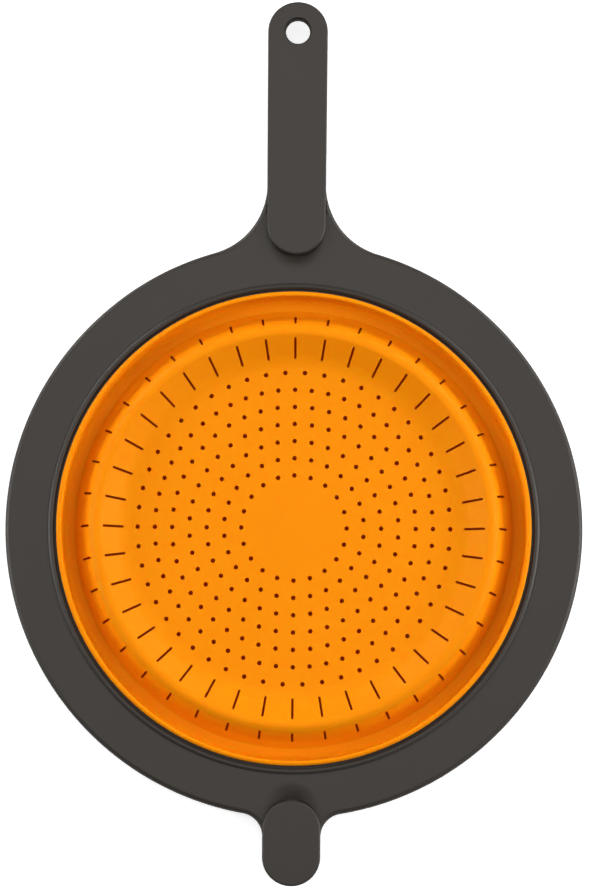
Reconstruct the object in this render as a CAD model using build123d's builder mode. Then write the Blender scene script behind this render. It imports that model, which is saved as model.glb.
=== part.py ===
from build123d import *
import math
import os

os.makedirs("parts", exist_ok=True)

# Steamer insert: a nylon ring with a long arm and a short arm, and a silicone bowl
# that folds flat inside it. Lengths are in millimetres. +Y runs along the long arm and
# +Z is up. The origin is under the middle of the whole outline, on the surface that
# the folded insert lies on. Reaches and radii are measured from the bowl's axis.

# Face ring of the frame
ring_radius = 142.5
ring_width = 21.1
ring_thickness = 3.6
ring_edge_bevel = 1.3

# Long arm and its grip
long_root_setback = 7.7
long_grip_span = 98.2
hang_radius = 6.0
long_tip_radius = 14.95
long_root_radius = 14.6
long_flare_radius = 36.0

# Short arm and its grip
short_root_setback = 5.7
short_grip_span = 13.2
short_grip_radius = 14.25
short_flare_radius = 11.5

# Both arms, below the face
arm_depth = 8.4
arm_skin = 2.4
arm_wall = 2.2
arm_inset = 0.4
arm_rib = 1.6
arm_rib_pitch = 22.0
long_rib_count = 4
short_rib_count = 1

# Both grips, above the face
grip_height = 2.4
grip_edge_bevel = 0.8
hang_edge_bevel = 0.5
tab_width = 10.0
tab_thickness = 2.4
tab_clearance = 0.1
tab_stand = 0.8
long_tab_steps = [23.3, 67.3]
short_tab_steps = [3.3, 18.3]

# Shoulder that rolls down from the face to each grip's round end
scoop_radius = 14.5
scoop_lead = 9.25
scoop_depth = 2.4
scoop_width = 9.1

# Inner ring that carries the bowl, seated in a rebate under the face ring
ring_fit = 0.1
rebate_width = 4.2
rebate_depth = 1.6
lip_width = 2.8
lip_rise = 0.6
lip_fall = 1.6
flange_width = 2.9
flange_drop = 2.4

# Silicone rim, wall and valley
bead_gap = 1.3
bead_width = 2.2
bead_rise = 0.9
bead_fall = 0.6
groove_clearance = 0.2
wall_thickness = 1.9
wall_run = 3.4
valley_depth = 10.8
valley_width = 2.9

# Silicone folding wall
fold_run = 8.3
fold_thickness = 1.8
hinge_rise = 0.2
short_slot_count = 40
short_slot_start = 0.9
short_slot_length = 4.1
slot_width = 1.2

# Silicone ridge and slope
ridge_lead = 1.2
ridge_rise = 1.1
ridge_foot = 1.7
slope_top_rise = 0.4
slope_run = 13.9
long_slot_count = 40
long_slot_start = 3.0
long_slot_length = 10.0

# Silicone floor
floor_depth = 6.2
floor_thickness = 2.0
hole_radius = 1.05
hole_sides = 4
hole_margin = 6.2
first_hole_radius = 26.1
hole_counts = [20, 26, 32, 38, 44, 52, 50]
hole_start_angles = [90, 90, 90, 90, 90, 90, 0]

# One overrun for every cut that leaves a face
overrun = 1.0

# Levels
face_z = valley_depth + wall_thickness
ring_under_z = face_z - ring_thickness
rebate_z = ring_under_z + rebate_depth
arm_under_z = face_z - arm_depth
grip_top_z = face_z + grip_height
flange_z = face_z - flange_drop
lip_z = face_z + lip_rise
lip_edge_z = lip_z - lip_fall
bead_z = face_z + bead_rise
bead_edge_z = bead_z - bead_fall
valley_z = face_z - valley_depth
hinge_z = face_z + hinge_rise
ridge_z = face_z + ridge_rise
slope_top_z = face_z + slope_top_rise
floor_z = face_z - floor_depth
floor_under_z = floor_z - floor_thickness
drop_travel = 2 * (hinge_z - valley_z)
tab_length = arm_skin + tab_stand

# Radii from the ring's rim inward to the floor
ring_bore_radius = ring_radius - ring_width
rebate_radius = ring_bore_radius + rebate_width
lip_outer_radius = ring_bore_radius - ring_fit
weld_radius = rebate_radius - ring_fit
lip_bore_radius = lip_outer_radius - lip_width
flange_radius = lip_bore_radius - flange_width
groove_radius = flange_radius - groove_clearance
bead_radius = lip_bore_radius - bead_gap
bead_top_radius = bead_radius - bead_width / 2
bead_inner_radius = bead_radius - bead_width
wall_foot_radius = bead_inner_radius - wall_run
valley_edge_radius = wall_foot_radius - valley_width
hinge_radius = valley_edge_radius - fold_run
ridge_radius = hinge_radius - ridge_lead
slope_top_radius = ridge_radius - ridge_foot
floor_radius = slope_top_radius - slope_run
short_slot_inner = hinge_radius + short_slot_start
long_slot_inner = slope_top_radius - long_slot_start - long_slot_length
last_hole_radius = floor_radius - hole_margin
hole_ring_pitch = (last_hole_radius - first_hole_radius) / (len(hole_counts) - 1)

# Reaches along both arms
long_root_reach = ring_radius + long_root_setback
hang_reach = long_root_reach + long_grip_span
long_reach = hang_reach + long_tip_radius
short_root_reach = ring_radius + short_root_setback
short_tip_reach = short_root_reach + short_grip_span
short_reach = short_tip_reach + short_grip_radius
bowl_y = (short_reach - long_reach) / 2
long_tab_reaches = [long_root_reach + step for step in long_tab_steps]
short_tab_reaches = [short_root_reach + step for step in short_tab_steps]
tab_slot_width = tab_width + 2 * tab_clearance
tab_slot_thickness = tab_thickness + 2 * tab_clearance

# The silicone's outer wall leans in, and is at its thinnest at the foot
wall_lean = wall_run / (bead_edge_z - valley_z)
wall_under_radius = wall_foot_radius - wall_lean * valley_z + wall_thickness * math.hypot(1, wall_lean)

# The folding wall rises inward from the valley to the hinge under the ridge
fold_rise = hinge_z - valley_z
fold_length = math.hypot(fold_run, fold_rise)
hinge_under_radius = hinge_radius - fold_thickness * fold_rise / fold_length
hinge_under_z = hinge_z - fold_thickness * fold_run / fold_length

bowl_axis = Axis((0, bowl_y, 0), (0, 0, 1))


def bowl_level(height):
    """Level plane whose origin lies on the bowl's axis."""
    return Plane(origin=(0, bowl_y, height))


def upright(reach):
    """Upright plane across an arm, whose own Y is the height and which holds an axis there."""
    return Plane(origin=(0, bowl_y + reach, 0), x_dir=(1, 0, 0), z_dir=(0, -1, 0))


def pill(side, root_reach, root_radius, tip_reach, tip_radius, inset):
    """Face of a grip's outline on the long arm's side (1) or the short arm's side (-1)."""
    root = root_radius - inset
    tip = tip_radius - inset
    root_y = side * root_reach
    tip_y = side * tip_reach
    with BuildLine() as outline:
        ThreePointArc((-root, root_y), (0, root_y - side * root), (root, root_y))
        Line((root, root_y), (tip, tip_y))
        ThreePointArc((tip, tip_y), (0, tip_y + side * tip), (-tip, tip_y))
        Line((-tip, tip_y), (-root, root_y))
    make_face(outline.edges())


def long_pill(inset=0.0):
    """Outline of the long grip, drawn in by the inset."""
    pill(1, long_root_reach, long_root_radius, hang_reach, long_tip_radius, inset)


def short_pill(inset=0.0):
    """Outline of the short grip, drawn in by the inset."""
    pill(-1, short_root_reach, short_grip_radius, short_tip_reach, short_grip_radius, inset)


def web(side, half_width, flare_radius):
    """Web that runs off the ring's rim into an arm, by an arc tangent to both."""
    centre_x = half_width + flare_radius
    centre_y = math.sqrt((ring_radius + flare_radius) ** 2 - centre_x ** 2)
    centre_reach = ring_radius + flare_radius
    ring_x = centre_x * ring_radius / centre_reach
    ring_y = centre_y * ring_radius / centre_reach
    ring_angle = math.atan2(ring_y - centre_y, ring_x - centre_x)
    middle_angle = (ring_angle - math.pi) / 2
    middle_x = centre_x + flare_radius * math.cos(middle_angle)
    middle_y = centre_y + flare_radius * math.sin(middle_angle)
    with BuildLine() as outline:
        ThreePointArc((ring_x, side * ring_y), (middle_x, side * middle_y), (half_width, side * centre_y))
        Line((half_width, side * centre_y), (-half_width, side * centre_y))
        ThreePointArc((-half_width, side * centre_y), (-middle_x, side * middle_y), (-ring_x, side * ring_y))
        Line((-ring_x, side * ring_y), (0, 0))
        Line((0, 0), (ring_x, side * ring_y))
    make_face(outline.edges())


def section(*corners):
    """Half of a turned shape's section, from corners of radius and height."""
    with BuildLine() as outline:
        Polyline(*corners, close=True)
    make_face(outline.edges())


def cut_slots(inner, outer, count):
    """Sketch of slots that point at the bowl's axis, the first on the long arm's line."""
    spread = math.asin(slot_width / 2 / outer)
    reach = 2 * outer
    with PolarLocations(0, count, start_angle=90):
        Polygon((0, 0), (reach, -reach * math.tan(spread)), (reach, reach * math.tan(spread)), align=None)
    Circle(outer, mode=Mode.INTERSECT)
    Circle(inner, mode=Mode.SUBTRACT)


# Scoops: what the shoulders take off the face, up to each grip, whose seat stays whole
with BuildPart() as scoops:
    for reach in (long_root_reach - scoop_lead, scoop_lead - short_root_reach):
        with BuildSketch(upright(reach)):
            section(
                (0, face_z + overrun),
                (0, face_z - scoop_depth),
                (scoop_radius - scoop_width, face_z - scoop_depth),
                (scoop_radius, face_z),
                (scoop_radius, face_z + overrun),
            )
        revolve(axis=Axis((0, bowl_y + reach, 0), (0, 0, 1)))
    with BuildSketch(bowl_level(ring_under_z)):
        long_pill()
        short_pill()
    extrude(amount=ring_thickness + 2 * overrun, mode=Mode.SUBTRACT)

# Frame: face ring, webs, and arms that are open and ribbed below
with BuildPart() as frame:
    with BuildSketch(bowl_level(ring_under_z)):
        Circle(ring_radius)
        web(1, long_root_radius, long_flare_radius)
        web(-1, short_grip_radius, short_flare_radius)
    extrude(amount=ring_thickness)
    chamfer(frame.edges().group_by(Axis.Z)[-1], ring_edge_bevel)
    with BuildSketch(bowl_level(arm_under_z)):
        long_pill(arm_inset)
        short_pill(arm_inset)
        Circle(ring_radius, mode=Mode.SUBTRACT)
    extrude(amount=arm_depth)
    with BuildSketch(bowl_level(arm_under_z)):
        long_pill(arm_inset + arm_wall)
        with Locations((0, (ring_radius + hang_reach) / 2)):
            with GridLocations(0, arm_rib_pitch, 1, long_rib_count):
                Rectangle(2 * long_tip_radius, arm_rib, mode=Mode.SUBTRACT)
        short_pill(arm_inset + arm_wall)
        with Locations((0, -(ring_radius + short_reach) / 2)):
            with GridLocations(0, arm_rib_pitch, 1, short_rib_count):
                Rectangle(2 * short_grip_radius, arm_rib, mode=Mode.SUBTRACT)
        Circle(ring_radius + arm_wall, mode=Mode.SUBTRACT)
    extrude(amount=arm_depth - arm_skin, mode=Mode.SUBTRACT)
    with BuildSketch(bowl_level(arm_under_z)):
        with Locations(*[(0, reach) for reach in long_tab_reaches]):
            Rectangle(tab_slot_width, tab_slot_thickness)
        with Locations(*[(0, -reach) for reach in short_tab_reaches]):
            Rectangle(tab_slot_width, tab_slot_thickness)
        with Locations((0, hang_reach)):
            Circle(hang_radius)
    extrude(amount=arm_depth, mode=Mode.SUBTRACT)
    with BuildSketch(bowl_level(ring_under_z)):
        Circle(ring_bore_radius)
    extrude(amount=ring_thickness, mode=Mode.SUBTRACT)
    with BuildSketch(bowl_level(ring_under_z)):
        Circle(rebate_radius)
    extrude(amount=rebate_depth, mode=Mode.SUBTRACT)
    add(scoops.part, mode=Mode.SUBTRACT)
frame.part.label = "frame"
export_step(frame.part, "parts/frame.step")

# Long grip: a plate with bevelled edges, two tabs and the hang hole
with BuildPart() as long_grip:
    with BuildSketch(bowl_level(face_z)):
        long_pill()
    extrude(amount=grip_height)
    chamfer(long_grip.edges().group_by(Axis.Z)[-1], grip_edge_bevel)
    with BuildSketch(bowl_level(grip_top_z)):
        with Locations((0, hang_reach)):
            Circle(hang_radius)
    extrude(amount=-grip_height, mode=Mode.SUBTRACT)
    chamfer(long_grip.edges().filter_by(GeomType.CIRCLE).group_by(Axis.Z)[-1], hang_edge_bevel)
    with BuildSketch(bowl_level(face_z)):
        with Locations(*[(0, reach) for reach in long_tab_reaches]):
            Rectangle(tab_width, tab_thickness)
    extrude(amount=-tab_length)
long_grip.part.label = "long_grip"
export_step(long_grip.part, "parts/long_grip.step")

# Short grip: the same plate, with no hole
with BuildPart() as short_grip:
    with BuildSketch(bowl_level(face_z)):
        short_pill()
    extrude(amount=grip_height)
    chamfer(short_grip.edges().group_by(Axis.Z)[-1], grip_edge_bevel)
    with BuildSketch(bowl_level(face_z)):
        with Locations(*[(0, -reach) for reach in short_tab_reaches]):
            Rectangle(tab_width, tab_thickness)
    extrude(amount=-tab_length)
short_grip.part.label = "short_grip"
export_step(short_grip.part, "parts/short_grip.step")

# Inner ring: a lip that stands over the face, a foot welded into the face ring's rebate,
# and the inward flange that the silicone grips
with BuildPart() as bowl_ring:
    with BuildSketch(upright(0)):
        section(
            (lip_bore_radius, lip_edge_z),
            (lip_outer_radius, lip_z),
            (lip_outer_radius, rebate_z),
            (weld_radius, rebate_z),
            (weld_radius, ring_under_z),
            (flange_radius, ring_under_z),
            (flange_radius, flange_z),
            (lip_bore_radius, flange_z),
        )
    revolve(axis=bowl_axis)
bowl_ring.part.label = "bowl_ring"
export_step(bowl_ring.part, "parts/bowl_ring.step")

# Silicone rim: a bead on the flange, the steep wall that thickens to grip under it,
# and the bottom of the valley
with BuildPart() as bowl_rim:
    with BuildSketch(upright(0)):
        section(
            (bead_radius, flange_z),
            (bead_radius, bead_edge_z),
            (bead_top_radius, bead_z),
            (bead_inner_radius, bead_edge_z),
            (wall_foot_radius, valley_z),
            (valley_edge_radius, valley_z),
            (valley_edge_radius, 0),
            (wall_under_radius, 0),
            (bead_radius, ring_under_z),
            (groove_radius, ring_under_z),
            (groove_radius, flange_z),
        )
    revolve(axis=bowl_axis)
bowl_rim.part.label = "bowl_rim"
export_step(bowl_rim.part, "parts/bowl_rim.step")

# Silicone folding wall, standing up inside the valley, with the short slots
with BuildPart() as bowl_fold:
    with BuildSketch(upright(0)):
        section(
            (valley_edge_radius, valley_z),
            (hinge_radius, hinge_z),
            (hinge_under_radius, hinge_under_z),
            (valley_edge_radius, 0),
        )
    revolve(axis=bowl_axis)
    with BuildSketch(bowl_level(-overrun)):
        cut_slots(short_slot_inner, short_slot_inner + short_slot_length, short_slot_count)
    extrude(amount=hinge_z + 2 * overrun, mode=Mode.SUBTRACT)
bowl_fold.part.label = "bowl_fold"
export_step(bowl_fold.part, "parts/bowl_fold.step")

# Silicone ridge and the slope inside it, with the long slots
with BuildPart() as bowl_slope:
    with BuildSketch(upright(0)):
        section(
            (hinge_radius, hinge_z),
            (ridge_radius, ridge_z),
            (slope_top_radius, slope_top_z),
            (floor_radius, floor_z),
            (floor_radius, floor_under_z),
            (hinge_under_radius, hinge_under_z),
        )
    revolve(axis=bowl_axis)
    with BuildSketch(bowl_level(-overrun)):
        cut_slots(long_slot_inner, long_slot_inner + long_slot_length, long_slot_count)
    extrude(amount=slope_top_z + 2 * overrun, mode=Mode.SUBTRACT)
bowl_slope.part.label = "bowl_slope"
export_step(bowl_slope.part, "parts/bowl_slope.step")

# Silicone floor: rings of small holes round a plain middle
with BuildPart() as bowl_floor:
    with BuildSketch(bowl_level(floor_under_z)):
        Circle(floor_radius)
        for ring, count in enumerate(hole_counts):
            ring_place = first_hole_radius + ring * hole_ring_pitch
            with PolarLocations(ring_place, count, start_angle=hole_start_angles[ring]):
                RegularPolygon(hole_radius, hole_sides, mode=Mode.SUBTRACT)
    extrude(amount=floor_thickness)
bowl_floor.part.label = "bowl_floor"
export_step(bowl_floor.part, "parts/bowl_floor.step")

print("bowl axis at y", bowl_y, "face at z", face_z, "drop travel", drop_travel)
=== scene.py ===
"""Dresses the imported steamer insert: a charcoal nylon ring with two arms and an orange folding bowl."""

import logging
import math
from collections.abc import Callable, Sequence
from dataclasses import dataclass, field
from enum import Enum

import bmesh
import bpy
from mathutils import Matrix, Vector


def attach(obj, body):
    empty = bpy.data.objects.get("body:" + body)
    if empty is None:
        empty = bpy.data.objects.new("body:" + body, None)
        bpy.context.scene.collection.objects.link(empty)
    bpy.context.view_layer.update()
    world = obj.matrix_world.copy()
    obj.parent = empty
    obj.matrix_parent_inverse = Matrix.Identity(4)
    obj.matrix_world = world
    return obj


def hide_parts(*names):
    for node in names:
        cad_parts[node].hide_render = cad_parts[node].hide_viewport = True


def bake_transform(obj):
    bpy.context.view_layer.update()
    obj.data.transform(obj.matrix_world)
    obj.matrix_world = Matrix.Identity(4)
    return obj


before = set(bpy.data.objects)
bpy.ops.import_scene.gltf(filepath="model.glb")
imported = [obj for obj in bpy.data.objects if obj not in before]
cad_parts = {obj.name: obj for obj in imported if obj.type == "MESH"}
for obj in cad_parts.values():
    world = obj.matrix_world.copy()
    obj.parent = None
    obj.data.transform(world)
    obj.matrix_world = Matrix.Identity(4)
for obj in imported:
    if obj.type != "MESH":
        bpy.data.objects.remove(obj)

log = logging.getLogger("steamer_insert")

MM = 0.001
BOWL_Y = -43.85
FACE = 12.7
RING_STEPS = 288
ARC_STEPS = 32
NEAR = 0.01 * MM
OVERRUN = 2.0
WELD = 1e-7
WHITE = (1.0, 1.0, 1.0)
SIDEWAYS = (0, -1, 0)

Place = tuple[float, float, float]
Size = tuple[float, float, float]
Colour = tuple[float, float, float]
PointTest = Callable[[Vector], bool]


class Body(Enum):
    """The two bodies that the pieces ride on."""

    FRAME = "frame"
    BASIN = "basin"


class Slot(Enum):
    """The names of the two material slots."""

    NYLON = "nylon"
    SILICONE = "silicone"


class Cut(Enum):
    """How one solid is worked into another."""

    TAKE = "DIFFERENCE"
    JOIN = "UNION"


@dataclass(frozen=True)
class Corner:
    """One corner of a turned section, in millimetres from the bowl's axis and above the table."""

    radius: float
    height: float
    rounding: float = 0.0
    steps: int = 6


class Bench:
    """Modelling steps that the pieces share, each a few operators on the selected piece."""

    @staticmethod
    def clear() -> None:
        """Deselects everything, so that the next operator acts on one piece."""
        bpy.ops.object.select_all(action="DESELECT")

    @staticmethod
    def take(piece: bpy.types.Object) -> None:
        """Makes one piece the selected and active one.

        Args:
            piece: The piece that the next operators act on.
        """
        Bench.clear()
        piece.select_set(True)
        bpy.context.view_layer.objects.active = piece

    @staticmethod
    def point(name: str, place: Place) -> bpy.types.Object:
        """Starts a drawing as a single point in edit mode.

        Args:
            name: The name of the new piece.
            place: Where the point lies, in metres.

        Returns:
            The new piece, in edit mode with its one point selected.
        """
        Bench.clear()
        bpy.ops.mesh.primitive_plane_add(size=MM, location=place)
        bpy.ops.object.transform_apply(location=True, rotation=True, scale=True)
        piece = bpy.context.object
        piece.name = name
        piece.data.name = name
        bpy.ops.object.mode_set(mode="EDIT")
        bpy.ops.mesh.select_mode(type="VERT")
        bpy.ops.mesh.select_all(action="SELECT")
        bpy.ops.mesh.merge(type="CENTER")
        return piece

    @staticmethod
    def tip() -> Vector:
        """Gives the place of the point that a drawing has reached."""
        mesh = bmesh.from_edit_mesh(bpy.context.object.data)
        return next(vert.co.copy() for vert in mesh.verts if vert.select)

    @staticmethod
    def draw(*places: Place) -> None:
        """Draws straight edges from the selected point through the given places.

        Args:
            places: The points of the line, in metres.
        """
        here = Bench.tip()
        for place in places:
            step = Vector(place) - here
            bpy.ops.mesh.extrude_region_move(TRANSFORM_OT_translate={"value": step})
            here = Vector(place)

    @staticmethod
    def swing(centre: Place, degrees: float, steps: int, axis: Place = (0, 0, 1)) -> None:
        """Draws an arc from the selected point, counter-clockwise where the angle is positive.

        Args:
            centre: The arc's centre, in metres.
            degrees: How far the point turns.
            steps: How many edges the arc gets.
            axis: The direction that the point turns about.
        """
        bpy.ops.mesh.spin(steps=steps, angle=-math.radians(degrees), center=centre, axis=axis)

    @staticmethod
    def pick(test: PointTest) -> None:
        """Selects the points that pass a test, and the edges and faces between them.

        Args:
            test: Says for a place, in metres, whether its point is wanted.
        """
        bpy.ops.mesh.select_mode(type="VERT")
        bpy.ops.mesh.select_all(action="DESELECT")
        piece = bpy.context.object
        mesh = bmesh.from_edit_mesh(piece.data)
        for vert in mesh.verts:
            vert.select = test(vert.co)
        mesh.select_flush_mode()
        bmesh.update_edit_mesh(piece.data)

    @staticmethod
    def close() -> None:
        """Joins the ends of a drawn outline and fills it with one face."""
        bpy.ops.mesh.select_all(action="SELECT")
        bpy.ops.mesh.remove_doubles(threshold=WELD)
        bpy.ops.mesh.edge_face_add()

    @staticmethod
    def raise_face(height: float) -> None:
        """Draws the selected flat face upwards into a plate.

        Args:
            height: The plate's thickness, in metres.
        """
        bpy.ops.mesh.extrude_region_move(TRANSFORM_OT_translate={"value": (0, 0, height)})
        Bench.true_up()

    @staticmethod
    def true_up() -> None:
        """Merges doubled points and turns every face outwards."""
        bpy.ops.mesh.select_all(action="SELECT")
        bpy.ops.mesh.remove_doubles(threshold=WELD)
        bpy.ops.mesh.normals_make_consistent(inside=False)

    @staticmethod
    def round_over(test: PointTest, radius: float, steps: int) -> None:
        """Rounds the edges whose two ends pass a test.

        Args:
            test: Says for a place, in metres, whether it lies on the edges that are rounded.
            radius: The rounding, in metres.
            steps: How many facets the rounding gets.
        """
        Bench.pick(test)
        bpy.ops.mesh.bevel(offset=radius, segments=steps, profile=0.5, affect="EDGES", clamp_overlap=False)

    @staticmethod
    def round_uprights(radius: float, steps: int) -> None:
        """Rounds every upright edge of the piece in hand.

        Args:
            radius: The rounding, in metres.
            steps: How many facets the rounding gets.
        """
        bpy.ops.mesh.select_mode(type="EDGE")
        bpy.ops.mesh.select_all(action="DESELECT")
        piece = bpy.context.object
        mesh = bmesh.from_edit_mesh(piece.data)
        for edge in mesh.edges:
            run = edge.verts[1].co - edge.verts[0].co
            edge.select = run.xy.length < NEAR
        mesh.select_flush_mode()
        bmesh.update_edit_mesh(piece.data)
        bpy.ops.mesh.bevel(offset=radius, segments=steps, profile=0.5, affect="EDGES", clamp_overlap=False)

    @staticmethod
    def leave() -> bpy.types.Object:
        """Leaves edit mode.

        Returns:
            The piece that was edited.
        """
        bpy.ops.object.mode_set(mode="OBJECT")
        return bpy.context.object

    @staticmethod
    def work(piece: bpy.types.Object, tool: bpy.types.Object, cut: Cut) -> None:
        """Cuts a tool out of a piece or joins it on, and uses the tool up.

        Args:
            piece: The piece that is worked.
            tool: The solid that is cut out or joined on.
            cut: Whether the tool is taken away or joined.
        """
        Bench.take(piece)
        bpy.ops.object.modifier_add(type="BOOLEAN")
        joint = piece.modifiers[-1]
        joint.solver = "EXACT"
        joint.operation = cut.value
        joint.object = tool
        bpy.ops.object.modifier_apply(modifier=joint.name)
        bpy.data.objects.remove(tool, do_unlink=True)

    @staticmethod
    def block(middle: Place, size: Size) -> bpy.types.Object:
        """Makes a plain block, both values in millimetres.

        Args:
            middle: Where the block's middle lies.
            size: Its width, length and height.

        Returns:
            The block.
        """
        Bench.clear()
        bpy.ops.mesh.primitive_cube_add(size=1, location=Vector(middle) * MM, scale=Vector(size) * MM)
        bpy.ops.object.transform_apply(location=True, rotation=True, scale=True)
        return bpy.context.object

    @staticmethod
    def gather(pieces: Sequence[bpy.types.Object]) -> bpy.types.Object:
        """Joins several pieces into one object.

        Args:
            pieces: The pieces, of which the first keeps its name.

        Returns:
            The joined piece.
        """
        Bench.clear()
        for piece in pieces:
            piece.select_set(True)
        bpy.context.view_layer.objects.active = pieces[0]
        bpy.ops.object.join()
        return pieces[0]

    @staticmethod
    def finish(piece: bpy.types.Object, degrees: float = 32.0, weight: int = 60) -> None:
        """Smooths a piece, keeping its sharp edges and its flats flat.

        Args:
            piece: The finished shape.
            degrees: The angle past which an edge stays sharp.
            weight: How strongly large faces set the shading of their corners.
        """
        Bench.take(piece)
        bpy.ops.object.shade_smooth_by_angle(angle=math.radians(degrees))
        bpy.ops.object.modifier_add(type="WEIGHTED_NORMAL")
        weighting = piece.modifiers[-1]
        weighting.keep_sharp = True
        weighting.weight = weight
        bpy.ops.object.modifier_apply(modifier=weighting.name)


class Turning:
    """Shapes turned about the bowl's axis from a closed section."""

    @staticmethod
    def at(radius: float, height: float) -> Place:
        """Gives the place of a section's point, in metres, from its radius and height in millimetres."""
        return (radius * MM, BOWL_Y * MM, height * MM)

    @staticmethod
    def section(name: str, corners: Sequence[Corner]) -> bpy.types.Object:
        """Draws a section as one face and rounds its corners.

        Args:
            name: The name of the new piece.
            corners: The section's corners in order.

        Returns:
            The piece, in edit mode, with the section as its only face.
        """
        places = [Turning.at(corner.radius, corner.height) for corner in corners]
        piece = Bench.point(name, places[0])
        Bench.draw(*places[1:])
        bpy.ops.mesh.select_all(action="SELECT")
        bpy.ops.mesh.edge_face_add()
        for corner, place in zip(corners, places):
            if corner.rounding:
                spot = Vector(place)
                Bench.pick(lambda point, spot=spot: (point - spot).length < NEAR)
                bpy.ops.mesh.bevel(
                    offset=corner.rounding * MM,
                    segments=corner.steps,
                    profile=0.5,
                    affect="VERTICES",
                    clamp_overlap=False,
                )
        return piece

    @staticmethod
    def turn(axis_y: float = BOWL_Y, steps: int = RING_STEPS) -> None:
        """Turns the drawn section once round an upright axis.

        Args:
            axis_y: Where the axis stands along the arms, in millimetres.
            steps: How many facets the turn has.
        """
        bpy.ops.mesh.select_all(action="SELECT")
        bpy.ops.mesh.delete(type="ONLY_FACE")
        bpy.ops.mesh.select_all(action="SELECT")
        bpy.ops.mesh.spin(steps=steps, angle=2 * math.pi, center=(0, axis_y * MM, 0), axis=(0, 0, 1))
        Bench.true_up()

    @staticmethod
    def ring(name: str, corners: Sequence[Corner]) -> bpy.types.Object:
        """Makes a ring from its section.

        Args:
            name: The name of the new piece.
            corners: The section's corners in order.

        Returns:
            The turned ring.
        """
        Turning.section(name, corners)
        Turning.turn()
        return Bench.leave()

    @staticmethod
    def drum(
        name: str,
        radius: float,
        bottom: float,
        top: float,
        axis_y: float = BOWL_Y,
        steps: int = RING_STEPS,
    ) -> bpy.types.Object:
        """Makes a plain drum that serves as a cutting tool.

        Args:
            name: The name of the tool.
            radius: The drum's radius, in millimetres.
            bottom: The height of its underside, in millimetres.
            top: The height of its top, in millimetres.
            axis_y: Where its axis stands along the arms, in millimetres.
            steps: How many facets it has round.

        Returns:
            The drum.
        """
        Bench.clear()
        bpy.ops.mesh.primitive_cylinder_add(
            vertices=steps,
            radius=radius * MM,
            depth=(top - bottom) * MM,
            location=(0, axis_y * MM, (top + bottom) / 2 * MM),
        )
        bpy.ops.object.transform_apply(location=True, rotation=True, scale=True)
        drum = bpy.context.object
        drum.name = name
        return drum


@dataclass(frozen=True)
class Arm:
    """The round-ended outline that an arm and its grip share, in millimetres from the bowl's axis.

    The side is 1 where the arm points along +Y and -1 where it points the other way.
    """

    side: int
    root_reach: float
    root_radius: float
    tip_reach: float
    tip_radius: float
    flare: float

    def plate(self, name: str, inset: float, bottom: float, top: float) -> bpy.types.Object:
        """Makes a plate with this outline and leaves it in edit mode.

        Args:
            name: The name of the new piece.
            inset: How far the outline is drawn in, in millimetres.
            bottom: The height of the plate's underside.
            top: The height of its top.

        Returns:
            The plate, in edit mode.
        """
        root = self.root_radius - inset
        tip = self.tip_radius - inset
        root_y = BOWL_Y + self.side * self.root_reach
        tip_y = BOWL_Y + self.side * self.tip_reach
        turn = -180.0 * self.side
        piece = Bench.point(name, (root * MM, root_y * MM, bottom * MM))
        Bench.swing((0, root_y * MM, bottom * MM), turn, 2 * ARC_STEPS)
        Bench.draw((-tip * MM, tip_y * MM, bottom * MM))
        Bench.swing((0, tip_y * MM, bottom * MM), turn, 2 * ARC_STEPS)
        Bench.close()
        Bench.raise_face((top - bottom) * MM)
        return piece


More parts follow.
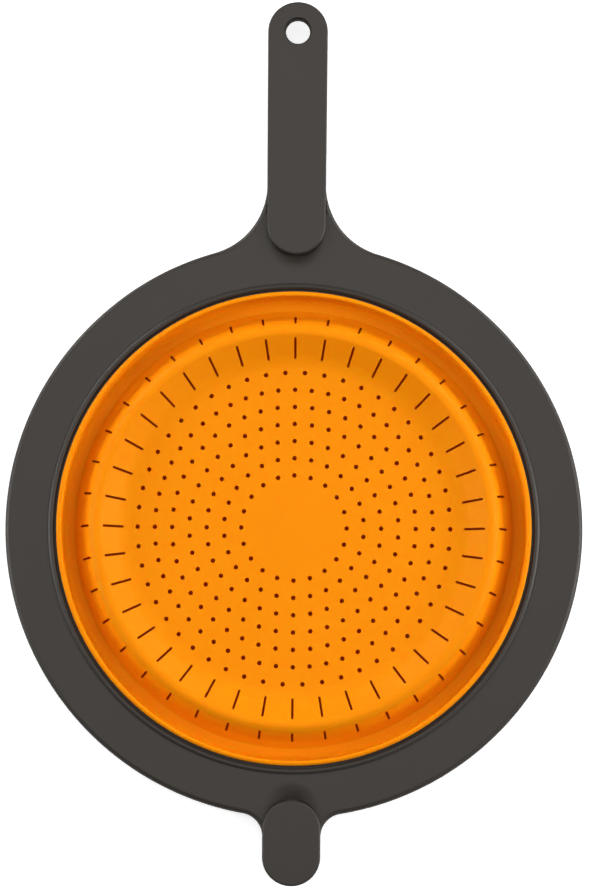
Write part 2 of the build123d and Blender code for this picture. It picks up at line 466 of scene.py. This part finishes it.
@dataclass
class Finish:
    """One material, made once from its colour and grain and shared by the pieces that wear it."""

    name: str
    colour: Colour
    shade: Colour
    roughness: float
    roughness_swing: float
    specular: float
    specular_tint: Colour
    grain_size: float
    grain_depth: float
    cloud_size: float
    subsurface: float = 0.0
    subsurface_radius: Colour = (0.0, 0.0, 0.0)
    cloud_detail: float = 3.0
    grain_detail: float = 4.0
    grain_roughness: float = 0.6
    made: bpy.types.Material | None = field(default=None, repr=False)

    def material(self) -> bpy.types.Material:
        """Gives the material, and makes it the first time.

        Returns:
            The node material.
        """
        if self.made is None:
            self.made = self.mix()
        return self.made

    def mix(self) -> bpy.types.Material:
        """Builds the nodes: slow clouds in the colour, fine grain in the surface.

        Returns:
            The new material.
        """
        material = bpy.data.materials.new(self.name)
        material.use_nodes = True
        nodes = material.node_tree.nodes
        links = material.node_tree.links
        shader = nodes["Principled BSDF"]
        place = nodes.new("ShaderNodeTexCoord")
        clouds = nodes.new("ShaderNodeTexNoise")
        clouds.inputs["Scale"].default_value = 1 / (self.cloud_size * MM)
        clouds.inputs["Detail"].default_value = self.cloud_detail
        links.new(place.outputs["Object"], clouds.inputs["Vector"])
        tint = nodes.new("ShaderNodeMix")
        tint.data_type = "RGBA"
        tint.inputs["A"].default_value = (*self.shade, 1.0)
        tint.inputs["B"].default_value = (*self.colour, 1.0)
        links.new(clouds.outputs["Fac"], tint.inputs["Factor"])
        links.new(tint.outputs["Result"], shader.inputs["Base Color"])
        grain = nodes.new("ShaderNodeTexNoise")
        grain.inputs["Scale"].default_value = 1 / (self.grain_size * MM)
        grain.inputs["Detail"].default_value = self.grain_detail
        grain.inputs["Roughness"].default_value = self.grain_roughness
        links.new(place.outputs["Object"], grain.inputs["Vector"])
        gloss = nodes.new("ShaderNodeMapRange")
        gloss.inputs["To Min"].default_value = self.roughness - self.roughness_swing
        gloss.inputs["To Max"].default_value = self.roughness + self.roughness_swing
        links.new(grain.outputs["Fac"], gloss.inputs["Value"])
        links.new(gloss.outputs["Result"], shader.inputs["Roughness"])
        relief = nodes.new("ShaderNodeBump")
        relief.inputs["Strength"].default_value = 1.0
        relief.inputs["Distance"].default_value = self.grain_depth * MM
        links.new(grain.outputs["Fac"], relief.inputs["Height"])
        links.new(relief.outputs["Normal"], shader.inputs["Normal"])
        shader.inputs["Specular IOR Level"].default_value = self.specular
        shader.inputs["Specular Tint"].default_value = (*self.specular_tint, 1.0)
        if self.subsurface:
            shader.inputs["Subsurface Weight"].default_value = self.subsurface
            shader.inputs["Subsurface Radius"].default_value = self.subsurface_radius
            shader.inputs["Subsurface Scale"].default_value = 1.0
        return material

    def dress(self, piece: bpy.types.Object) -> None:
        """Puts the finish on a piece.

        Args:
            piece: The piece that wears it.
        """
        piece.data.materials.clear()
        piece.data.materials.append(self.material())


NYLON = Finish(
    name="charcoal_nylon",
    colour=(0.0318, 0.0266, 0.0222),
    shade=(0.0274, 0.0230, 0.0187),
    roughness=0.42,
    roughness_swing=0.06,
    specular=0.29,
    specular_tint=WHITE,
    grain_size=0.35,
    grain_depth=0.012,
    cloud_size=38.0,
)
SILICONE = Finish(
    name="orange_silicone",
    colour=(0.815, 0.258, 0.003),
    shade=(0.780, 0.238, 0.002),
    roughness=0.42,
    roughness_swing=0.05,
    specular=0.16,
    specular_tint=(1.0, 0.6, 0.12),
    grain_size=0.6,
    grain_depth=0.006,
    cloud_size=46.0,
    subsurface=0.6,
    subsurface_radius=(0.0012, 0.0004, 0.0001),
)


def settle(
    piece: bpy.types.Object,
    finish: Finish,
    nodes: Sequence[str],
    body: Body | None,
) -> None:
    """Dresses a finished piece and hands it to the body that carries it.

    Args:
        piece: The finished piece.
        finish: What it wears.
        nodes: The CAD nodes that it stands for.
        body: The body that it rides on, or None to leave it on no body.
    """
    finish.dress(piece)
    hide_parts(*nodes)
    if body is not None:
        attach(piece, body.value)
    log.info("%s: %d faces", piece.name, len(piece.data.polygons))


@dataclass
class FaceRing:
    """The nylon frame: face ring, flared webs, and arms that are open and ribbed below."""

    long_arm: Arm
    short_arm: Arm
    radius: float = 142.5
    thickness: float = 3.6
    edge_rounding: float = 2.5
    edge_steps: int = 8
    foot_rounding: float = 0.5
    foot_steps: int = 2
    bore_radius: float = 121.4
    rebate_radius: float = 125.6
    rebate_depth: float = 1.6
    arm_depth: float = 8.4
    arm_inset: float = 0.4
    arm_wall: float = 2.2
    arm_skin: float = 2.4
    arm_foot_rounding: float = 0.6
    arm_foot_steps: int = 3
    rib: float = 1.6
    rib_pitch: float = 22.0
    long_ribs: int = 4
    short_ribs: int = 1
    hang_radius: float = 6.0
    tab_slot: Size = (10.2, 2.6, 33.6)
    long_tabs: tuple[float, float] = (173.5, 217.5)
    short_tabs: tuple[float, float] = (151.5, 166.5)
    scoop_radius: float = 14.5
    scoop_lead: float = 9.25
    scoop_shoulder: float = 18.0
    scoop_depth: float = 2.4
    scoop_steps: int = 12
    shoulder_facets: int = 144
    rise_start: tuple[float, float] = (14.6, 150.4)
    rise_angle: float = 30.0
    rise_run: float = 11.0
    rise_height: float = 1.7
    rise_rows: int = 12
    rise_inner: float = 14.2
    rise_margin: float = 12.0
    rise_slack: float = 0.1

    def flare_points(self, arm: Arm) -> tuple[float, float, float]:
        """Works out where a web's flare leaves the ring and meets the arm.

        Args:
            arm: The arm that the web runs into.

        Returns:
            The flare centre's X and reach, and the angle of its ring end seen from the bowl's axis.
        """
        centre_x = arm.root_radius + arm.flare
        centre_reach = math.sqrt((self.radius + arm.flare) ** 2 - centre_x ** 2)
        return centre_x, centre_reach, math.degrees(math.atan2(centre_reach, centre_x))

    def outline(self) -> bpy.types.Object:
        """Draws the face ring's outline with both webs, and raises it to a plate.

        Returns:
            The plate, in edit mode.
        """
        low = FACE - self.thickness
        long_x, long_y, long_angle = self.flare_points(self.long_arm)
        short_x, short_y, short_angle = self.flare_points(self.short_arm)
        sweep = long_angle + short_angle
        steps = round(RING_STEPS * sweep / 360)
        axis = (0, BOWL_Y * MM, low * MM)
        start = (self.long_arm.root_radius * MM, (BOWL_Y + long_y) * MM, low * MM)
        plate = Bench.point("face_ring", start)
        Bench.swing((long_x * MM, (BOWL_Y + long_y) * MM, low * MM), long_angle, ARC_STEPS)
        Bench.swing(axis, -sweep, steps)
        Bench.swing((short_x * MM, (BOWL_Y - short_y) * MM, low * MM), short_angle, ARC_STEPS)
        Bench.draw((-self.short_arm.root_radius * MM, (BOWL_Y - short_y) * MM, low * MM))
        Bench.swing((-short_x * MM, (BOWL_Y - short_y) * MM, low * MM), short_angle, ARC_STEPS)
        Bench.swing(axis, -sweep, steps)
        Bench.swing((-long_x * MM, (BOWL_Y + long_y) * MM, low * MM), long_angle, ARC_STEPS)
        Bench.close()
        Bench.raise_face(self.thickness * MM)
        Bench.round_over(lambda point: point.z > FACE * MM - NEAR, self.edge_rounding * MM, self.edge_steps)
        Bench.round_over(lambda point: point.z < low * MM + NEAR, self.foot_rounding * MM, self.foot_steps)
        Bench.true_up()
        return plate

    def arm_block(self, arm: Arm) -> bpy.types.Object:
        """Makes one arm's solid block, outside the ring.

        Args:
            arm: The arm's outline.

        Returns:
            The block.
        """
        low = FACE - self.arm_depth
        arm.plate("arm_block", self.arm_inset, low, FACE)
        rounding = self.arm_foot_rounding * MM
        Bench.round_over(lambda point: point.z < low * MM + NEAR, rounding, self.arm_foot_steps)
        block = Bench.leave()
        ring_cut = Turning.drum("ring_cut", self.radius, low - OVERRUN, FACE + OVERRUN)
        Bench.work(block, ring_cut, Cut.TAKE)
        return block

    def pocket(self, arm: Arm, rib_count: int) -> bpy.types.Object:
        """Makes the tool for the hollow under an arm, with its ribs left standing.

        Args:
            arm: The arm's outline.
            rib_count: How many ribs cross the hollow.

        Returns:
            The cutting tool.
        """
        low = FACE - self.arm_depth - OVERRUN
        top = FACE - self.arm_skin
        arm.plate("pocket", self.arm_inset + self.arm_wall, low, top)
        tool = Bench.leave()
        ring_cut = Turning.drum("ring_cut", self.radius + self.arm_wall, low - OVERRUN, top + OVERRUN)
        Bench.work(tool, ring_cut, Cut.TAKE)
        far = arm.tip_reach if arm.side > 0 else arm.tip_reach + arm.tip_radius
        middle = (self.radius + far) / 2
        for rib in range(rib_count):
            reach = middle + (rib - (rib_count - 1) / 2) * self.rib_pitch
            standing = Bench.block(
                (0, BOWL_Y + arm.side * reach, (low + top) / 2),
                (2 * arm.tip_radius, self.rib, top - low + 2 * OVERRUN),
            )
            Bench.work(tool, standing, Cut.TAKE)
        return tool

    def tab_slots(self, arm: Arm, reaches: Sequence[float]) -> bpy.types.Object:
        """Makes the tool for the slots that take a grip's tabs.

        Args:
            arm: The arm that the slots go through.
            reaches: How far the slots lie from the bowl's axis.

        Returns:
            The cutting tool.
        """
        return Bench.gather([
            Bench.block((0, BOWL_Y + arm.side * reach, FACE), self.tab_slot)
            for reach in reaches
        ])

    def scoop(self, arm: Arm) -> bpy.types.Object:
        """Makes the tool for the shoulder that rolls down to a grip's round end.

        Args:
            arm: The arm whose grip it leads to.

        Returns:
            The cutting tool.
        """
        axis_y = BOWL_Y + arm.side * (arm.root_reach - self.scoop_lead)
        angle = math.acos(1 - self.scoop_depth / self.scoop_shoulder)
        top = FACE + OVERRUN

        def at(radius: float, height: float) -> Place:
            """Gives the place of a point of the scoop's own section."""
            return (radius * MM, axis_y * MM, height * MM)

        Bench.point("scoop", at(0, top))
        Bench.draw(at(self.scoop_radius, top), at(self.scoop_radius, FACE))
        centre = at(self.scoop_radius, FACE - self.scoop_shoulder)
        Bench.swing(centre, math.degrees(angle), self.scoop_steps, SIDEWAYS)
        foot = Bench.tip()
        Bench.draw((0, axis_y * MM, foot.z))
        Turning.turn(axis_y, self.shoulder_facets)
        tool = Bench.leave()
        arm.plate("seat", 0.0, FACE - self.thickness - OVERRUN, top + OVERRUN)
        Bench.work(tool, Bench.leave(), Cut.TAKE)
        return tool

    def raise_webs(self, piece: bpy.types.Object) -> None:
        """Lets the web rise beside the long grip, row by row, until it lies against the grip's side.

        Args:
            piece: The frame, in object mode.
        """
        Bench.take(piece)
        bpy.ops.object.mode_set(mode="EDIT")
        low = (FACE - self.edge_rounding - self.rise_slack) * MM
        reach = (BOWL_Y + self.radius - self.rise_margin) * MM
        pitch = self.rise_run / self.rise_rows * MM
        turn = math.radians(self.rise_angle)
        start_x, start_reach = self.rise_start
        for side in (1, -1):
            across = Vector((side * math.sin(turn), math.cos(turn), 0))
            start = Vector((side * start_x, BOWL_Y + start_reach, 0)) * MM

            def part(place: Vector, normal: Vector) -> None:
                """Cuts a new row of points into the upper side along an upright plane."""
                Bench.pick(lambda point: point.z > low and point.y > reach)
                bpy.ops.mesh.bisect(plane_co=place, plane_no=normal)

            def lift(first: float, last: float, height: float) -> None:
                """Lifts the points beside the grip that lie between two distances up the rise."""
                Bench.pick(
                    lambda point: point.z > low
                    and side * point.x > start_x * MM - NEAR
                    and first < (point - start).xy.dot(across.xy) < last
                )
                bpy.ops.transform.translate(value=(0, 0, height * MM))

            for inner in (start_x, self.rise_inner):
                part(Vector((side * inner * MM, 0, 0)), Vector((1, 0, 0)))
            for row in range(self.rise_rows + 1):
                part(start + row * pitch * across, across)
            for row in range(1, self.rise_rows):
                share = row / self.rise_rows
                lift((row - 0.5) * pitch, (row + 0.5) * pitch, self.rise_height * self.ease(share))
            lift((self.rise_rows - 0.5) * pitch, math.inf, self.rise_height)
        Bench.true_up()
        Bench.leave()

    @staticmethod
    def ease(share: float) -> float:
        """Gives how much of a height is reached at a share of its way, level at both ends."""
        return share * share * (3 - 2 * share)

    def build(self) -> bpy.types.Object:
        """Builds the frame.

        Returns:
            The finished frame.
        """
        low = FACE - self.thickness
        self.outline()
        piece = Bench.leave()
        for arm in (self.long_arm, self.short_arm):
            Bench.work(piece, self.arm_block(arm), Cut.JOIN)
        for arm, ribs, tabs in (
            (self.long_arm, self.long_ribs, self.long_tabs),
            (self.short_arm, self.short_ribs, self.short_tabs),
        ):
            Bench.work(piece, self.pocket(arm, ribs), Cut.TAKE)
            Bench.work(piece, self.tab_slots(arm, tabs), Cut.TAKE)
            Bench.work(piece, self.scoop(arm), Cut.TAKE)
        bore = Turning.drum("bore", self.bore_radius, low - OVERRUN, FACE + OVERRUN)
        Bench.work(piece, bore, Cut.TAKE)
        rebate = Turning.drum("rebate", self.rebate_radius, low - OVERRUN, low + self.rebate_depth)
        Bench.work(piece, rebate, Cut.TAKE)
        hang = Turning.drum(
            "hang",
            self.hang_radius,
            FACE - self.arm_depth - OVERRUN,
            FACE + OVERRUN,
            BOWL_Y + self.long_arm.tip_reach,
            2 * ARC_STEPS,
        )
        Bench.work(piece, hang, Cut.TAKE)
        self.raise_webs(piece)
        Bench.finish(piece)
        settle(piece, NYLON, ["frame"], Body.FRAME)
        return piece


@dataclass
class Grip:
    """A nylon plate that lies on an arm, with rounded edges and tabs through the arm's skin."""

    name: str
    arm: Arm
    tabs: tuple[float, float]
    hang_radius: float = 0.0
    height: float = 2.4
    edge_rounding: float = 1.1
    edge_steps: int = 6
    hang_rounding: float = 0.9
    hang_steps: int = 8
    hang_facets: int = 96
    tab_width: float = 10.0
    tab_thickness: float = 2.4
    tab_length: float = 3.2
    tab_root: float = 0.6

    def build(self) -> bpy.types.Object:
        """Builds the grip.

        Returns:
            The finished grip.
        """
        top = FACE + self.height
        self.arm.plate(f"{self.name}_plate", 0.0, FACE, top)
        Bench.round_over(lambda point: point.z > top * MM - NEAR, self.edge_rounding * MM, self.edge_steps)
        piece = Bench.leave()
        middle = FACE + (self.tab_root - self.tab_length) / 2
        for reach in self.tabs:
            tab = Bench.block(
                (0, BOWL_Y + self.arm.side * reach, middle),
                (self.tab_width, self.tab_thickness, self.tab_length + self.tab_root),
            )
            Bench.work(piece, tab, Cut.JOIN)
        if self.hang_radius:
            self.bore(piece, top)
        Bench.finish(piece)
        settle(piece, NYLON, [self.name], Body.FRAME)
        return piece

    def bore(self, piece: bpy.types.Object, top: float) -> None:
        """Cuts the hang hole, whose upper edge is rounded over.

        Args:
            piece: The grip.
            top: The height of its top.
        """
        axis_y = BOWL_Y + self.arm.side * self.arm.tip_reach

        def at(radius: float, height: float) -> Place:
            """Gives the place of a point of the hole's own section."""
            return (radius * MM, axis_y * MM, height * MM)

        wide = self.hang_radius + self.hang_rounding
        Bench.point("hang_tool", at(0, top + OVERRUN))
        Bench.draw(at(wide, top + OVERRUN), at(wide, top))
        Bench.swing(at(wide, top - self.hang_rounding), -90.0, self.hang_steps, SIDEWAYS)
        Bench.draw(at(self.hang_radius, FACE - OVERRUN), at(0, FACE - OVERRUN))
        Turning.turn(axis_y, self.hang_facets)
        Bench.work(piece, Bench.leave(), Cut.TAKE)


@dataclass
class InnerRing:
    """The nylon ring that carries the bowl: its lip stands over the face, its foot sits in the rebate."""

    corners: tuple[Corner, ...] = (
        Corner(118.5, 12.7, 0.3, 3),
        Corner(119.6, 13.85, 0.9, 8),
        Corner(121.3, 12.95, 0.2, 3),
        Corner(121.3, 10.7),
        Corner(125.5, 10.7),
        Corner(125.5, 9.1),
        Corner(115.6, 9.1),
        Corner(115.6, 10.3),
        Corner(118.5, 10.3),
    )

    def build(self) -> bpy.types.Object:
        """Builds the inner ring.

        Returns:
            The finished ring.
        """
        piece = Turning.ring("inner_ring", self.corners)
        Bench.finish(piece)
        settle(piece, NYLON, ["bowl_ring"], Body.FRAME)
        return piece


@dataclass
class FoldingBowl:
    """The orange silicone bowl: rim and valley, folding wall, and basin with its holes and slots."""

    rim: tuple[Corner, ...] = (
        Corner(117.2, 10.3),
        Corner(117.2, 14.5, 1.5, 8),
        Corner(114.9, 14.5, 0.75, 8),
        Corner(114.4, 1.9, 2.8, 10),
        Corner(108.7, 1.9),
        Corner(108.7, 0.0),
        Corner(116.3, 0.0, 4.0, 8),
        Corner(117.0, 9.1, 0.4, 3),
        Corner(115.4, 9.1),
        Corner(115.4, 10.3),
    )
    fold: tuple[Corner, ...] = (
        Corner(108.7, 1.9),
        Corner(105.7, 4.5, 2.6, 8),
        Corner(102.5, 10.7, 2.4, 8),
        Corner(100.4, 12.9),
        Corner(98.963, 11.816),
        Corner(101.1, 9.7, 1.6, 4),
        Corner(104.5, 3.0, 1.6, 4),
        Corner(107.7, 0.0),
        Corner(108.7, 0.0),
    )
    basin: tuple[Corner, ...] = (
        Corner(100.4, 12.9),
        Corner(97.2, 14.7, 2.3, 12),
        Corner(83.6, 6.5, 4.0, 10),
        Corner(79.2, 6.5),
        Corner(79.2, 4.5),
        Corner(83.6, 4.5, 1.2, 4),
        Corner(98.963, 11.816),
    )
    slot_width: float = 1.2
    slot_rounding: float = 0.54
    slot_steps: int = 4
    slot_count: int = 40
    short_slots: tuple[float, float] = (101.3, 105.4)
    long_slots: tuple[float, float] = (84.2, 94.4)
    hole_radius: float = 1.12
    hole_edge: float = 0.12
    hole_bevel: float = 0.192
    hole_facets: int = 16
    first_holes: float = 26.1
    hole_rows: float = 8.55
    hole_counts: tuple[int, ...] = (20, 26, 32, 38, 44, 52, 50)
    hole_starts: tuple[float, ...] = (90, 90, 90, 90, 90, 90, 0)
    floor_top: float = 6.5
    floor_under: float = 4.5
    floor_edge: float = 79.2
    tool_height: float = 40.0
    valley_height: float = 1.9
    hinge_height: float = 12.9

    def slot_tool(self, inner: float, outer: float) -> bpy.types.Object:
        """Makes the tool for a ring of slots that point at the bowl's axis.

        Args:
            inner: The radius where the slots begin.
            outer: The radius where they end.

        Returns:
            The cutting tool.
        """
        Bench.block(
            (0, BOWL_Y + (inner + outer) / 2, self.floor_top),
            (self.slot_width, outer - inner, self.tool_height),
        )
        bpy.ops.object.mode_set(mode="EDIT")
        Bench.round_uprights(self.slot_rounding * MM, self.slot_steps)
        angles = [90 + 360 * slot / self.slot_count for slot in range(self.slot_count)]
        return self.repeat(Bench.leave(), angles)

    def repeat(self, first: bpy.types.Object, angles: Sequence[float]) -> bpy.types.Object:
        """Copies a tool round the bowl's axis.

        Args:
            first: The tool, which stands on the long arm's line.
            angles: Where the copies stand, in degrees from +X, the first being the tool's own.

        Returns:
            All copies as one tool.
        """
        copies = []
        centre = Matrix.Translation((0, BOWL_Y * MM, 0))
        for angle in angles:
            Bench.take(first)
            bpy.ops.object.duplicate(linked=False)
            copy = bpy.context.object
            turn = Matrix.Rotation(math.radians(angle - 90), 4, "Z")
            copy.matrix_world = centre @ turn @ centre.inverted()
            bpy.ops.object.transform_apply(location=True, rotation=True, scale=True)
            copies.append(copy)
        bpy.data.objects.remove(first, do_unlink=True)
        return Bench.gather(copies)

    def hole_tool(self, radius: float, count: int, start: float) -> bpy.types.Object:
        """Makes the tool for one ring of drain holes, each flared a little at both faces.

        Args:
            radius: How far the holes lie from the bowl's axis.
            count: How many holes the ring has.
            start: Where the first hole stands, in degrees from +X.

        Returns:
            The cutting tool.
        """
        middle = (self.floor_top + self.floor_under) / 2
        half = (self.floor_top - self.floor_under) / 2

        def at(out: float, height: float) -> Place:
            """Gives the place of a point of the hole's own section."""
            return (out * MM, (BOWL_Y + radius) * MM, height * MM)

        wide = self.hole_radius + self.hole_edge
        wider = wide + self.hole_edge
        Bench.point("hole", at(0, middle + half + self.hole_edge))
        Bench.draw(
            at(wider, middle + half + self.hole_edge),
            at(wide, middle + half),
            at(self.hole_radius, middle + half - self.hole_bevel),
            at(self.hole_radius, middle - half + self.hole_bevel),
            at(wide, middle - half),
            at(wider, middle - half - self.hole_edge),
            at(0, middle - half - self.hole_edge),
        )
        Turning.turn(BOWL_Y + radius, self.hole_facets)
        return self.repeat(Bench.leave(), [start + 360 * hole / count for hole in range(count)])

    def build_rim(self) -> bpy.types.Object:
        """Builds the bead, the steep wall and the valley.

        Returns:
            The finished rim.
        """
        piece = Turning.ring("silicone_rim", self.rim)
        Bench.finish(piece)
        settle(piece, SILICONE, ["bowl_rim"], Body.FRAME)
        return piece

    def build_fold(self) -> bpy.types.Object:
        """Builds the folding wall, which turns over between rim and basin as the bowl drops.

        Returns:
            The finished folding wall.
        """
        piece = Turning.ring("silicone_fold", self.fold)
        Bench.work(piece, self.slot_tool(*self.short_slots), Cut.TAKE)
        Bench.finish(piece)
        settle(piece, SILICONE, ["bowl_fold"], None)
        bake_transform(piece)
        return piece

    def build_basin(self) -> bpy.types.Object:
        """Builds the ridge, the slope and the floor as one moulding.

        Returns:
            The finished basin.
        """
        Turning.section("silicone_basin", self.basin)
        Turning.turn()
        inner = self.floor_edge * MM + NEAR
        axis = Vector((0, BOWL_Y * MM, 0))
        Bench.pick(lambda point: (point - axis).xy.length < inner)
        bpy.ops.mesh.delete(type="FACE")
        Bench.pick(lambda point: (point - axis).xy.length < inner)
        bpy.ops.mesh.fill_holes(sides=0)
        Bench.true_up()
        piece = Bench.leave()
        Bench.work(piece, self.slot_tool(*self.long_slots), Cut.TAKE)
        for row, (count, start) in enumerate(zip(self.hole_counts, self.hole_starts)):
            tool = self.hole_tool(self.first_holes + row * self.hole_rows, count, start)
            Bench.work(piece, tool, Cut.TAKE)
        Bench.finish(piece)
        settle(piece, SILICONE, ["bowl_slope", "bowl_floor"], Body.BASIN)
        return piece


@dataclass(frozen=True)
class Lamp:
    """One soft lamp: its direction from the bowl, in degrees from +X and above the table, and its power."""

    name: str
    azimuth: float
    elevation: float
    watts: float


@dataclass
class Studio:
    """The pale floor, with a well under the bowl that wears painted red bounce light and a painted red glow,
    the soft lights and the camera: lengths in millimetres, lamps in metres and watts.
    """

    well_radius: float = 108.4
    well_depth: float = 30.0
    # Painted light: the well's red-orange colour stands in for bounce light from the silicone, and its
    # camera-only red glow stands in for light that has come through it.
    well_painted_bounce_colour: Colour = (0.80, 0.22, 0.12)
    well_painted_glow_colour: Colour = (0.95, 0.05, 0.0)
    well_painted_glow_strength: float = 0.12
    floor_radius: float = 4000.0
    floor_colour: Colour = (0.86, 0.86, 0.86)
    floor_lift: float = 0.56
    focal_px: float = 3250.0
    picture_height: int = 896
    sensor: float = 36.0
    far_end: float = 100.0
    tilt: float = 5.586
    roll: float = 0.48
    distance: float = 1602.36
    lamp_distance: float = 2.0
    lamp_size: tuple[float, float] = (0.9, 0.7)
    lamps: tuple[Lamp, ...] = (
        Lamp("right_low", 0, 20, 23.7),
        Lamp("right_high", 0, 46, 10.4),
        Lamp("left_low", 180, 20, 16.2),
        Lamp("left_high", 180, 46, 9.4),
        Lamp("back_right", 45, 18, 15.6),
        Lamp("back_left", 135, 18, 17.2),
        Lamp("back_high", 90, 68, 5.2),
        Lamp("front_right", 315, 35, 4.3),
        Lamp("overhead", 90, 90, 5.1),
    )
    room_light: float = 0.055
    shift_x: float = -1.05
    shift_y: float = -38.985

    def floor(self) -> None:
        """Lays the pale floor, with a shallow well that leaves the bowl room to drop and wears painted red
        light.
        """
        wall = ((0.0, -self.well_depth), (self.well_radius, -self.well_depth), (self.well_radius, 0.0))
        well = self.sheet("well", wall)
        Bench.take(well)
        bpy.ops.object.mode_set(mode="EDIT")
        bpy.ops.mesh.select_all(action="SELECT")
        bpy.ops.mesh.flip_normals()
        Bench.leave()
        # The well is painted red-orange and glows red to the camera: painted light from the silicone.
        well.data.materials.append(self.paper("well_paper_painted_red_light", self.well_painted_bounce_colour, self.well_painted_glow_strength, self.well_painted_glow_colour))
        floor = self.sheet("floor", ((self.well_radius, 0.0), (self.floor_radius, 0.0)))
        floor.data.materials.append(self.paper("floor_paper", self.floor_colour, self.floor_lift, WHITE))

    def sheet(self, name: str, points: Sequence[tuple[float, float]]) -> bpy.types.Object:
        """Turns a line about the bowl's axis into a thin sheet of the stage.

        Args:
            name: The sheet's name.
            points: The line's points as radius and height, in millimetres.

        Returns:
            The sheet.
        """
        places = [Turning.at(radius, height) for radius, height in points]
        Bench.point(name, places[0])
        Bench.draw(*places[1:])
        Turning.turn()
        sheet = Bench.leave()
        return sheet

    def paper(self, name: str, colour: Colour, lift: float, tint: Colour) -> bpy.types.Material:
        """Makes the floor's matte surface, which the camera sees a little brighter than it is lit.

        Args:
            name: The material's name.
            colour: The paper's colour; in the well it is a red-orange painted bounce light from the silicone,
                not the paper's own colour.
            lift: How much light the camera sees on top of what falls there; in the well this is a painted red
                glow.
            tint: The colour of that light; in the well it is a painted red glow standing in for light that
                has come through the silicone.

        Returns:
            The material.
        """
        material = bpy.data.materials.new(name)
        material.use_nodes = True
        nodes = material.node_tree.nodes
        links = material.node_tree.links
        nodes.clear()
        output = nodes.new("ShaderNodeOutputMaterial")
        # In the well the matte colour is painted red bounce light. The camera-only emission below is an even
        # white lift on the floor and a painted red glow in the well.
        matte = nodes.new("ShaderNodeBsdfDiffuse")
        matte.inputs["Color"].default_value = (*colour, 1.0)
        glow = nodes.new("ShaderNodeEmission")
        glow.inputs["Color"].default_value = (*tint, 1.0)
        path = nodes.new("ShaderNodeLightPath")
        amount = nodes.new("ShaderNodeMath")
        amount.operation = "MULTIPLY"
        amount.inputs[1].default_value = lift
        links.new(path.outputs["Is Camera Ray"], amount.inputs[0])
        links.new(amount.outputs["Value"], glow.inputs["Strength"])
        both = nodes.new("ShaderNodeAddShader")
        links.new(matte.outputs["BSDF"], both.inputs[0])
        links.new(glow.outputs["Emission"], both.inputs[1])
        links.new(both.outputs["Shader"], output.inputs["Surface"])
        return material

    def lamp(self, lamp: Lamp) -> None:
        """Hangs a soft rectangular lamp that faces the bowl.

        Args:
            lamp: Where it hangs and how bright it is.
        """
        azimuth = math.radians(lamp.azimuth)
        elevation = math.radians(lamp.elevation)
        way = Vector((
            math.cos(azimuth) * math.cos(elevation),
            math.sin(azimuth) * math.cos(elevation),
            math.sin(elevation),
        ))
        turn = way.to_track_quat("Z", "Y").to_euler()
        Bench.clear()
        bpy.ops.object.light_add(type="AREA", location=way * self.lamp_distance, rotation=turn)
        light = bpy.context.object
        light.name = lamp.name
        light.data.shape = "RECTANGLE"
        light.data.size = self.lamp_size[0]
        light.data.size_y = self.lamp_size[1]
        light.data.energy = lamp.watts

    def lights(self) -> None:
        """Hangs the lamps and sets the even light of the room."""
        for lamp in self.lamps:
            self.lamp(lamp)
        world = bpy.data.worlds.new("room")
        bpy.context.scene.world = world
        world.use_nodes = True
        nodes = world.node_tree.nodes
        links = world.node_tree.links
        nodes.clear()
        output = nodes.new("ShaderNodeOutputWorld")
        room = nodes.new("ShaderNodeBackground")
        room.inputs["Color"].default_value = (*WHITE, 1.0)
        room.inputs["Strength"].default_value = self.room_light
        white = nodes.new("ShaderNodeBackground")
        white.inputs["Color"].default_value = (*WHITE, 1.0)
        white.inputs["Strength"].default_value = 1.0
        path = nodes.new("ShaderNodeLightPath")
        choice = nodes.new("ShaderNodeMixShader")
        links.new(path.outputs["Is Camera Ray"], choice.inputs["Fac"])
        links.new(room.outputs["Background"], choice.inputs[1])
        links.new(white.outputs["Background"], choice.inputs[2])
        links.new(choice.outputs["Shader"], output.inputs["Surface"])

    def camera(self) -> None:
        """Stands the camera where the photograph was taken from."""
        tilt = math.radians(self.tilt)
        roll = math.radians(self.roll)
        right = Vector((math.cos(roll), math.sin(roll), 0))
        up = Vector((-math.sin(roll) * math.cos(tilt), math.cos(roll) * math.cos(tilt), math.sin(tilt)))
        back = right.cross(up)
        centre = Vector((0, BOWL_Y, FACE))
        place = (centre - self.shift_x * right - self.shift_y * up + self.distance * back) * MM
        turn = Matrix((right, up, back)).transposed()
        Bench.clear()
        bpy.ops.object.camera_add(location=place, rotation=turn.to_euler())
        camera = bpy.context.object
        camera.data.sensor_width = self.sensor
        camera.data.lens = self.sensor * self.focal_px / self.picture_height
        camera.data.clip_end = self.far_end
        bpy.context.scene.camera = camera

    def build(self) -> None:
        """Sets up the floor, the lights, the camera and the view."""
        self.floor()
        self.lights()
        self.camera()
        bpy.context.scene.view_settings.view_transform = "Standard"


def main() -> None:
    """Builds the insert piece by piece."""
    logging.basicConfig(level=logging.INFO, format="%(name)s: %(message)s")
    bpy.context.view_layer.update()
    long_arm = Arm(1, root_reach=150.2, root_radius=14.6, tip_reach=248.4, tip_radius=14.95, flare=36.0)
    short_arm = Arm(-1, root_reach=148.2, root_radius=14.25, tip_reach=161.4, tip_radius=14.25, flare=11.5)
    ring = FaceRing(long_arm, short_arm)
    ring.build()
    Grip("long_grip", long_arm, ring.long_tabs, ring.hang_radius).build()
    Grip("short_grip", short_arm, ring.short_tabs).build()
    InnerRing().build()
    bowl = FoldingBowl()
    bowl.build_rim()
    bowl.build_fold()
    bowl.build_basin()
    Studio().build()


if __name__ == "__main__":
    main()
